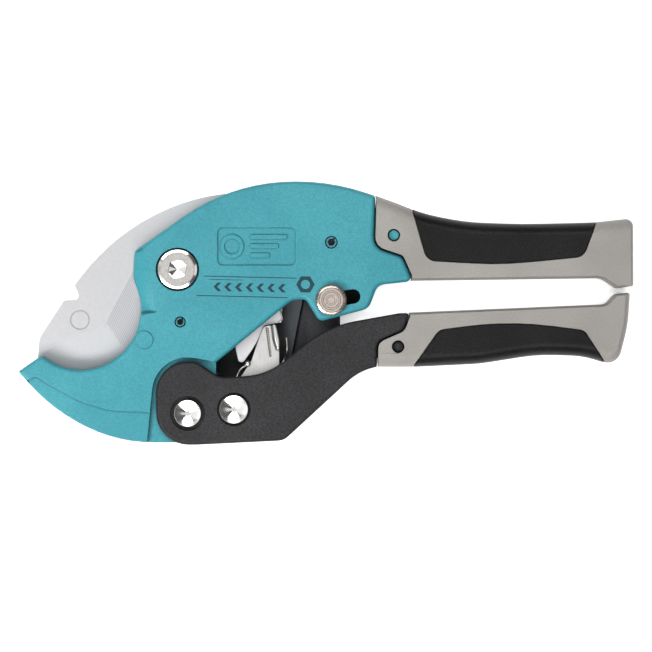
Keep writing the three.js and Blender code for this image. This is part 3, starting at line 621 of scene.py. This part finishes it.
def black_oxide():
    paint = Paint("black_oxide")
    marks = paint.noise(900, 3)
    paint.color(paint.ramp(marks, 0.3, 0.7, rgb(22, 22, 24), rgb(44, 44, 47)))
    paint.set(Metallic=0.6)
    paint.roughness(marks, 0.32, 0.5)
    paint.bump(marks, 0.1, 0.00003)
    return paint.material


def bronze():
    paint = Paint("plain_bronze")
    marks = paint.noise(800, 4)
    paint.color(paint.ramp(marks, 0.3, 0.7, rgb(160, 122, 70), rgb(190, 150, 92)))
    paint.set(Metallic=1.0)
    paint.roughness(marks, 0.3, 0.5)
    paint.bump(marks, 0.1, 0.00003)
    return paint.material


LEAN = 0.055  # a blade face whose normal leans more than this is one of the ground bevels
TAIL_LEFT, TAIL_TOP = -0.04, 0.01  # the blade's tail, right of and below these lines, in metres, is painted lighter against the housing's shadow


def blade_steel():
    """Satin stainless with hatched grinding on its two bevels, told apart by the way they lean, and
    painted light on its tail.
    """
    paint = Paint("blade_steel")
    mottle = paint.noise(900, 5, 0.75)
    base = paint.ramp(mottle, 0.25, 0.8, rgb(183, 183, 185), rgb(194, 194, 196))
    lean = paint.parts(paint.facing)
    heel = paint.math("GREATER_THAN", lean["X"], LEAN)
    tip = paint.math("MULTIPLY", paint.between(lean["Y"], -0.3, -LEAN),
                     paint.math("SUBTRACT", 1.0, heel))
    heel_lines = paint.wave(560, -66, 1.6)
    tip_lines = paint.wave(640, -52, 1.2)
    heel_tone = paint.ramp(heel_lines, 0.1, 0.9, rgb(166, 166, 169), rgb(194, 194, 197))
    tip_tone = paint.ramp(tip_lines, 0.1, 0.9, rgb(167, 168, 171), rgb(195, 196, 199))
    place = paint.parts(paint.coords)
    # painted light: the tail, which lies in the housing's shadow, is coloured lighter
    painted_tail_light = paint.math("MULTIPLY", paint.math("GREATER_THAN", place["X"], TAIL_LEFT),
                         paint.math("LESS_THAN", place["Y"], TAIL_TOP))
    face = paint.mix(painted_tail_light, base, rgb(208, 208, 210))
    # the last share is painted shade in creases
    paint.color(paint.mix(tip, paint.mix(heel, face, heel_tone), tip_tone), crease_shade=0.4)
    paint.set(Metallic=0.85)
    paint.roughness(mottle, 0.36, 0.5)
    lines = paint.math("ADD", paint.math("MULTIPLY", heel_lines, heel),
                       paint.math("MULTIPLY", tip_lines, tip))
    paint.bump(lines, 0.2, 0.00003)
    paint.bump(mottle, 0.1, 0.00003)
    return paint.material


def print_ink():
    paint = Paint("print_ink")
    marks = paint.noise(1800, 2)
    paint.color(paint.ramp(marks, 0.3, 0.7, rgb(14, 52, 62), rgb(24, 66, 76)))
    paint.set(Specular_IOR_Level=0.3)
    paint.roughness(marks, 0.45, 0.6)
    paint.bump(marks, 0.1, 0.00002)
    return paint.material


# ---- CAD nodes that keep their shape -------------------------------------------------------------
KEPT = {  # node: the maker of its material, and the rounding of its edges in millimetres
    "housing": (teal_paint, 0.16),
    "pivot_bush": (bronze, 0.1),
    "thrust_washer_front": (bronze, 0.1),
    "thrust_washer_rear": (bronze, 0.1),
    "blade_stop_pin": (pin_steel, 0.08),
    "spring_anchor_pin": (pin_steel, 0.08),
    "spring_post": (pressed_steel, 0.1),
    "lever": (dark_paint, 0),
    "lever_pin_clip": (black_oxide, 0.1),
    "pawl_pin_clip": (black_oxide, 0.1),
    "latch_pin": (polished_steel, 0.1),
    "latch_washer": (black_oxide, 0.1),
    "upper_grip_sleeve": (grip_plastic, 0.14),
    "upper_grip_insert": (grip_rubber, 0.14),
    "lower_grip_sleeve": (grip_plastic, 0.14),
    "lower_grip_insert": (grip_rubber, 0.14),
}
FINISHES = {}


def finish(maker):
    """The material that a maker builds, made once."""
    if maker not in FINISHES:
        FINISHES[maker] = maker()
    return FINISHES[maker]


def finish_kept_nodes():
    for name, (maker, edge) in KEPT.items():
        node = NODES[name]
        node.data.materials.clear()
        node.data.materials.append(finish(maker))
        soften_edges(node, edge * MM)


def finish_blade():
    """The blade keeps flat faces, so that its ground bevels meet in crisp lines."""
    blade = NODES["blade"]
    blade.data.materials.clear()
    blade.data.materials.append(finish(blade_steel))
    add_modifier(blade, "weld", "WELD", merge_threshold=WELD_DISTANCE)
    crisp(blade, 2)


# ---- fasteners -----------------------------------------------------------------------------------
def stand_for(piece, node, body, maker):
    piece.data.materials.append(finish(maker))
    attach(piece, body)
    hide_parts(node)


KEY_FLATS = 5.45  # across the flats of the bolt's hexagon socket, in millimetres
KEY_HEADING = math.radians(-16)  # direction that one flat of the socket faces
BOLT_HEAD = 6.5  # radius of the bolt's head, in millimetres
NUT_FLATS = 13  # across the flats of the nut, in millimetres
DISH_SLOPE = math.tan(math.radians(17))  # of the cones in the pins' heads and the socket's floor


def make_pivot_bolt():
    """A low round head with a bright sloping rim round a satin face, and a hexagon socket."""
    top = 9.05
    socket_depth = 1.43
    outside = [
        (0.01, -9.4), (3.4, -9.4), (3.7, -9.3), (3.95, -9.0), (3.95, 5.3),
        (BOLT_HEAD - 0.2, 5.3), (BOLT_HEAD, 5.5), (BOLT_HEAD, top - 0.55),
        (BOLT_HEAD - 0.05, top - 0.36), (BOLT_HEAD - 0.16, top - 0.28),
        (5.6, top - 0.04), (5.5, top - 0.12), (5.38, top - 0.12), (5.3, top),
    ]
    rings = [circle_ring(radius, height) for radius, height in outside]
    lip = [hex_ring(KEY_FLATS + 0.34, top, KEY_HEADING),
           hex_ring(KEY_FLATS, top - 0.2, KEY_HEADING)]
    floor = [(x, y, (top - socket_depth) * MM + math.hypot(x, y) * DISH_SLOPE)
             for x, y, _ in hex_ring(KEY_FLATS - 0.02, top, KEY_HEADING)]
    rings += lip + [floor, circle_ring(0.02, top - socket_depth)]
    bolt = loft("bolt_with_socket_head", rings, BLADE_PIVOT)
    crisp(bolt, 10)
    stand_for(bolt, "pivot_bolt", "body", satin_nickel)


def make_pivot_nut():
    """A hexagon nut whose corners are chamfered towards the back."""
    hole = 4.35
    rings = [hex_ring(NUT_FLATS, -5.4, most=7.2), hex_ring(NUT_FLATS, -9.2, most=7.4),
             hex_ring(NUT_FLATS, -9.7, most=6.9), hex_ring(NUT_FLATS, -9.98, most=6.45)]
    rings += [circle_ring(hole + 0.35, -9.98), circle_ring(hole, -9.7), circle_ring(hole, -5.4)]
    nut = loft("hex_nut", rings, BLADE_PIVOT, closed=True)
    crisp(nut, 22)
    stand_for(nut, "pivot_nut", "body", black_oxide)


def make_headed_pin(name, node, centre, shank, head):
    """A pin with a polished dished head and a groove for its clip; radii in millimetres."""
    rim = 9.78
    profile = [
        (0.01, -9.88), (shank - 0.9, -9.88), (shank - 0.4, -9.6), (shank - 0.22, -9.1),
        (shank - 0.9, -9.05), (shank - 0.9, -8.15), (shank - 0.2, -8.1), (shank - 0.05, -7.5),
        (shank - 0.05, 7.95), (head - 0.15, 7.95), (head, 8.1), (head, rim - 0.25),
        (head - 0.08, rim - 0.08), (head - 0.22, rim), (head - 0.34, rim - 0.02),
        (0.9, rim - 0.02 - (head - 1.24) * DISH_SLOPE), (0.01, rim - (head - 1.05) * DISH_SLOPE),
    ]
    pin = turned(name, centre, profile)
    crisp(pin, 14)
    stand_for(pin, node, "lever", polished_steel)


def make_latch_button():
    """The latch's round head, with turned rings and a small raised hexagon in the middle."""
    top = 11.28
    profile = [
        (0.01, 10.5), (2.25, 10.5), (2.3, 9.02), (4.75, 9.02), (4.95, 9.2), (4.98, 10.7),
        (4.95, 10.9), (4.86, 10.98), (4.15, top - 0.08),
        (4.05, top - 0.3), (3.88, top - 0.3), (3.8, top - 0.02),
    ]
    for outer in (3.2, 2.62):
        profile += [(outer, top), (outer - 0.05, top - 0.22),
                    (outer - 0.17, top - 0.22), (outer - 0.22, top)]
    profile += [(1.75, top - 0.02), (1.65, top - 0.2)]
    rings = [circle_ring(radius, height) for radius, height in profile]
    rings += [hex_ring(2.2, top - 0.2), hex_ring(2.0, top - 0.04), hex_ring(0.04, top - 0.02)]
    button = loft("latch_thumb_button", rings, middle("latch_button"))
    crisp(button, 30)
    stand_for(button, "latch_button", "latch", warm_nickel)


def make_cast_boss():
    """A round mark cast on the jaw's flank, with a crisp foot."""
    profile = [(0.01, 8.4), (2.9, 8.4), (2.86, 9.0), (2.7, 9.14), (0.01, 9.14)]
    boss = turned("cast_boss", at(-59.0, -8.7), profile)
    crisp(boss, 30)
    boss.data.materials.append(finish(teal_paint))
    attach(boss, "body")


def make_fasteners():
    make_pivot_bolt()
    make_pivot_nut()
    make_headed_pin("lever_hinge_pin", "lever_pin", LEVER_PIVOT, 3.5, 4.5)
    make_headed_pin("pawl_hinge_pin", "pawl_pin", PAWL_PIVOT, 3.0, 4.75)
    make_latch_button()


# ---- springs -------------------------------------------------------------------------------------
def helix(centre, radius, rise, turns, per_turn=24):
    """A coil about a vertical axis, in metres."""
    count = round(turns * per_turn)
    points = []
    for i in range(count + 1):
        angle = 2 * math.pi * turns * i / count
        arm = Vector((radius * math.cos(angle), radius * math.sin(angle), rise * i / count))
        points.append(centre + arm)
    return points


def make_lever_spring():
    """The torsion spring round the lever's pin, inside the housing."""
    coil = helix(LEVER_PIVOT - Vector((0, 0, 5 * MM)), 6 * MM, 3.5 * MM, 2.5)
    spring = tube("lever_torsion_spring", coil, 0.58 * MM)
    stand_for(spring, "lever_spring", "body", spring_wire)


def make_pawl_spring():
    """A torsion spring on the pawl's pin, whose ball end turns with the pawl."""
    right_leg = [(-12.9, -8, 1), (-12.6, -10.6, 1), (-12.8, -13, 1.7),
                 (-13.5, -15.2, 4.1), (-15.2, -18, 4.5), (-17, -20.5, 4.6)]
    left_leg = [(-31.6, -26, 5.6), (-29.8, -22.6, 5.2), (-28.6, -19.8, 4.6),
                (-27.5, -18, 4.6), (-25.7, -17, 4.6)]
    coil = helix(PAWL_PIVOT + Vector((0, 0, 4.4 * MM)), 4.2 * MM, 1.25 * MM, 1.25, per_turn=16)
    points = [at(*point) for point in right_leg] + coil + [at(*point) for point in left_leg]
    spring = tube("pawl_torsion_spring", smooth_path(points, 4), 0.36 * MM)
    spring.data.materials.append(finish(spring_wire))
    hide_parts("pawl_spring")
    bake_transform(spring)
    ball = [(0.95 * math.sin(a), 4.6 - 0.7 * math.cos(a))
            for a in (math.pi * k / 16 for k in range(17))]
    end = turned("pawl_spring_ball_end", at(-25.4, -16.5), ball)
    stand_for(end, "pawl_spring", "pawl", pressed_steel)


def make_return_spring():
    """The extension spring between the anchor pin and the post on the blade's back."""
    level = Vector((0, 0, 3.7 * MM))
    start = middle("spring_anchor_pin") + level
    end = middle("spring_post") + level
    axis = (end - start).normalized()
    side = Vector((-axis.y, axis.x, 0))
    up = axis.cross(side)
    hook, eye, coil_radius, turns = 2.7 * MM, 2.1 * MM, 1.5 * MM, 16
    first, last = start + axis * (hook + 1.6 * MM), end - axis * (eye + 1.6 * MM)
    points = [start + (axis * math.cos(a) + side * math.sin(a)) * hook
              for a in (math.radians(-50 - 26 * k) for k in range(11))]
    count = turns * 14
    for i in range(count + 1):
        angle = 2 * math.pi * turns * i / count
        points.append(first.lerp(last, i / count)
                      + (side * math.cos(angle) + up * math.sin(angle)) * coil_radius)
    points += [end + (axis * math.cos(a) + side * math.sin(a)) * eye
               for a in (math.radians(130 - 26 * k) for k in range(11))]
    spring = tube("return_extension_spring", smooth_path(points, 2), 0.38 * MM, sides=8)
    spring.data.materials.append(finish(spring_wire))
    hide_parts("blade_return_spring")
    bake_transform(spring)


def make_tail_lip():
    """The rolled lip along the end of the blade's tail."""
    lip = [(-15, 1.2), (-14.5, -0.5), (-14.25, -1.8), (-14.55, -2.6), (-15.4, -2.95)]
    path = smooth_path([at(x, y, 1.5) for x, y in lip], 6)
    piece = tube("blade_tail_lip", path, 0.27 * MM)
    piece.data.materials.append(finish(polished_steel))
    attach(piece, "blade")


# ---- pawl ----------------------------------------------------------------------------------------
# Outlines in plan, as (x, y, corner radius) in millimetres.
PAWL_FOOT = [(-33.8, -36, 4), (-25.3, -36, 4), (-18.8, -25.6, 3)]
PAWL_LEFT = [(-22.4, -9.8, 10), (-24.3, -15.4, 4), (-27.4, -20.2, 2), (-34.5, -28.2, 3)]
PAWL_FACE = PAWL_FOOT + [
    (-15.05, -17, 1), (-15.05, -12.5, 0.2), (-16.1, -12.3, 0.7),
    (-17.2, -9, 3), (-17.9, -3.9, 0.3), (-20.4, -4.3, 1.3),
] + PAWL_LEFT
PAWL_BACK = PAWL_FOOT + [
    (-15.1, -17, 1), (-15.1, -9, 6), (-16.4, -3.8, 0.5), (-20.4, -4.4, 1.3),
] + PAWL_LEFT
PAWL_FLANGE = [
    (-15, -11.8, 0.35), (-15, -9, 6), (-16.2, -3.7, 0.5),
    (-17.5, -3.7, 0.3), (-16.8, -8.5, 4), (-15.8, -12, 0.4),
]
PAWL_PRESSING = [(-18.2, -14.2, 0.2), (-17.7, -14.2, 0.2), (-18.7, -4.6, 0.3), (-19.5, -4.6, 0.3)]
PAWL_DRIVE = [
    (-20.4, -27, 0), (-17, -27, 0), (-15.2, -17, 1),
    (-15.2, -9, 0), (-16.2, -7.2, 0), (-15.9, -16, 1),
]


def make_pawl():
    """A folded steel pawl: two side plates, a rolled flange, a pressed strip and a web between."""
    hole = polygon(PAWL_PIVOT / MM, 3.3, 40)
    front = [fillet(PAWL_FACE), hole, fillet(PAWL_PRESSING)]
    back = [fillet(PAWL_BACK), hole]
    parts = [  # name, outlines, low and high side, edge rounding, material
        ("pawl_front_plate", front, 2.5, 3.6, 0.2, pressed_steel),
        ("pawl_back_plate", back, -3.6, -2.4, 0.2, pressed_steel),
        ("pawl_rolled_flange", [fillet(PAWL_FLANGE)], 2.4, 4.1, 0.4, pressed_steel),
        ("pawl_pressed_strip", [fillet(PAWL_PRESSING)], 2.4, 3.1, 0.05, pressed_strip),
        ("pawl_drive_web", [fillet(PAWL_DRIVE)], -2.5, 2.45, 0.1, pressed_steel),
    ]
    for name, outlines, low, high, edge, maker in parts:
        piece = plate(name, outlines, low, high, edge)
        stand_for(piece, "pawl", "pawl", maker)


def pressed_strip():
    """The bottom of the pawl's pressing, coloured darker than the plates and cross-hatched by the
    press tool.
    """
    paint = Paint("pressed_strip")
    lines = paint.wave(520, 8, 0.6)
    paint.color(paint.ramp(lines, 0.2, 0.8, rgb(104, 101, 97), rgb(176, 173, 169)))
    paint.set(Metallic=0.8)
    paint.roughness(lines, 0.4, 0.55)
    paint.bump(lines, 0.3, 0.00004)
    return paint.material


# ---- printed guide marks -------------------------------------------------------------------------
INK_TOP = FACE_HEIGHT + 0.03
INK_LOW = FACE_HEIGHT - 0.05
ARROWS = 7
ARROW_STEP = (3.5, -0.08)  # from one arrowhead to the next, in millimetres
NUT_MARK = (-6.6, 9.3)  # centre of the printed nut, in millimetres


def make_print():
    """Two rules, a row of arrowheads towards the jaw and a nut outline, printed on the housing."""
    rules = [
        [(-39.5, 11.9), (-9.5, 11.2), (-9.5, 11.45), (-39.5, 12.15)],
        [(-42, 5.6), (-12.5, 4.9), (-12.5, 5.15), (-42, 5.85)],
        [(-38, 10.9), (-27, 10.65), (-27, 10.8), (-38, 11.05)],
    ]
    arrows = []
    for k in range(ARROWS):
        x, y = -36.5 + ARROW_STEP[0] * k, 8.55 + ARROW_STEP[1] * k
        arrows.append([(x, y), (x + 1.3, y + 1.35), (x + 2.5, y + 1.35),
                       (x + 1.2, y), (x + 2.5, y - 1.35), (x + 1.3, y - 1.35)])
    marks = {
        "printed_rules": rules,
        "printed_arrowheads": arrows,
        "printed_nut_outline": [polygon(NUT_MARK, 3, 6), polygon(NUT_MARK, 1.5, 24)],
    }
    for name, outlines in marks.items():
        piece = plate(name, outlines, INK_LOW, INK_TOP, 0.0)
        piece.data.materials.append(finish(print_ink))
        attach(piece, "body")


# ---- assembly ------------------------------------------------------------------------------------
make_camera()
make_world()
make_lights()
make_floor()
finish_kept_nodes()
finish_blade()
make_fasteners()
make_cast_boss()
make_lever_spring()
make_pawl_spring()
make_return_spring()
make_tail_lip()
make_pawl()
make_print()
